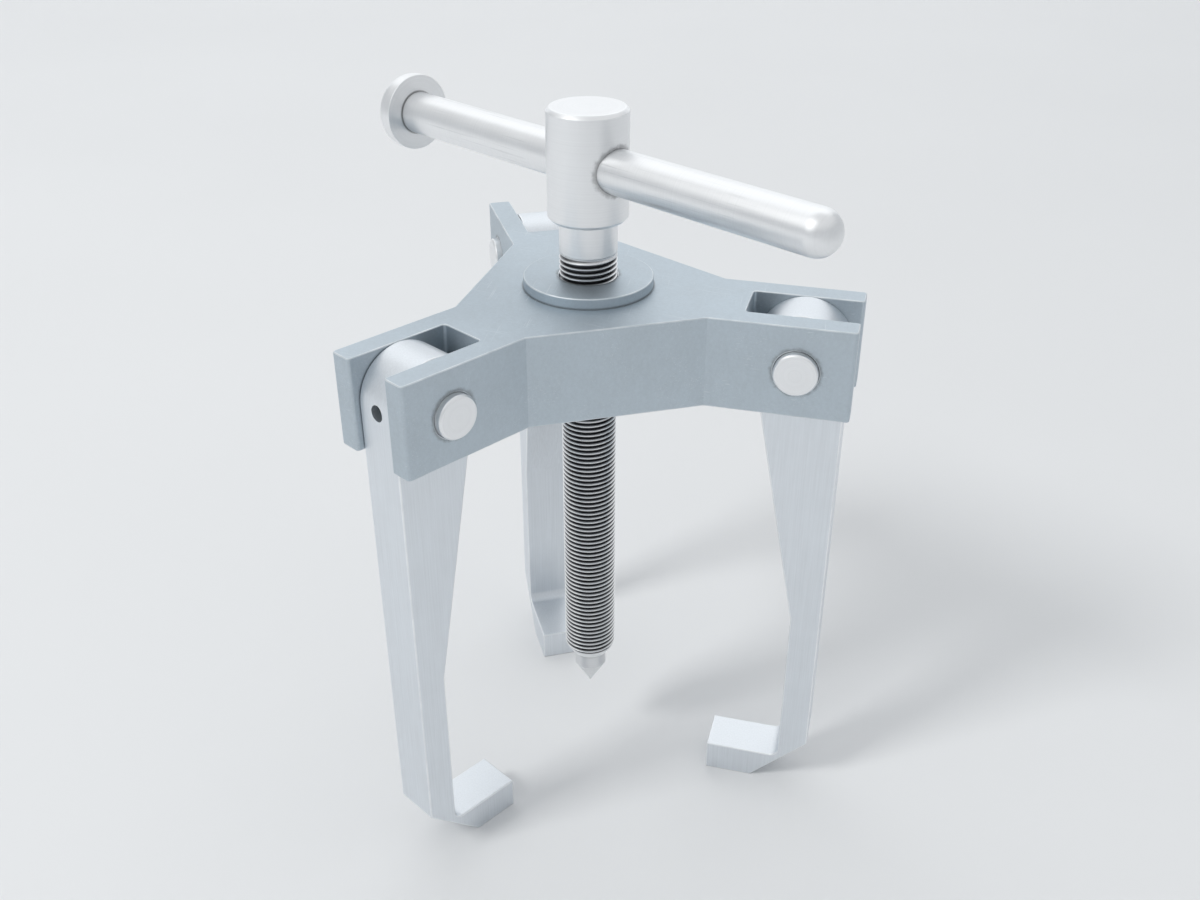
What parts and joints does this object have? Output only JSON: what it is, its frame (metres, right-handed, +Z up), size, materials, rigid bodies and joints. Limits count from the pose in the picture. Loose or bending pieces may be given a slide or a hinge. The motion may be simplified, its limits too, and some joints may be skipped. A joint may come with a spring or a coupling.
{
  "type": "three-jaw gear puller",
  "caption": "Gear puller with three hooked jaws pinned in a slotted yoke, a threaded spindle with a live centre point and a sliding tommy bar.",
  "frame": {"origin": "on the spindle's axis, at the rim where the centre point's 60 degree cone starts", "axes": "+Z up along the spindle towards its head, tommy bar along X with its domed end at +X, first jaw towards -Y"},
  "size_m": [0.16, 0.1243, 0.2124],
  "materials": {
    "yoke_steel": "forged steel, milled and bead blasted, satin",
    "jaw_steel": "drop forged steel, ground on the sides, satin",
    "bright_steel": "bright turned and ground steel",
    "dark_steel": "black oxide steel"
  },
  "bodies": {
    "yoke": {"yoke": "yoke_steel"},
    "point": {"centre_point": "bright_steel"},
    "screw": {"spindle": "bright_steel"},
    "bar": {"tommy_bar": "bright_steel"},
    "jaw_1": {"jaw_1": "jaw_steel", "pivot_pin_1": "bright_steel", "lock_screw_1": "dark_steel"},
    "jaw_2": {"jaw_2": "jaw_steel", "pivot_pin_2": "bright_steel", "lock_screw_2": "dark_steel"},
    "jaw_3": {"jaw_3": "jaw_steel", "pivot_pin_3": "bright_steel", "lock_screw_3": "dark_steel"}
  },
  "joints": [
    {"name": "screw_advance", "type": "slide", "parent": "yoke", "child": "point", "axis": [0, 0, -1], "range_m": [-0.0975, 0.00675]},
    {"name": "spindle_turn", "type": "hinge", "parent": "point", "child": "screw", "pos_m": [0, 0, 0], "axis": [0, 0, -1], "range_deg": [-23420, 1640]},
    {"name": "bar_slide", "type": "slide", "parent": "screw", "child": "bar", "axis": [1, 0, 0], "range_m": [-0.06, 0.061]},
    {"name": "jaw_1_swing", "type": "hinge", "parent": "yoke", "child": "jaw_1", "pos_m": [0, -0.06, 0.1197], "axis": [-1, 0, 0], "range_deg": [-14, 90]},
    {"name": "jaw_2_swing", "type": "hinge", "parent": "yoke", "child": "jaw_2", "pos_m": [0.05196, 0.03, 0.1197], "axis": [0.5, -0.866, 0], "range_deg": [-14, 90]},
    {"name": "jaw_3_swing", "type": "hinge", "parent": "yoke", "child": "jaw_3", "pos_m": [-0.05196, 0.03, 0.1197], "axis": [0.5, 0.866, 0], "range_deg": [-14, 90]}
  ],
  "couplings": [
    {"joint": "spindle_turn", "follows": "screw_advance", "rad_per_m": 4188.8}
  ]
}
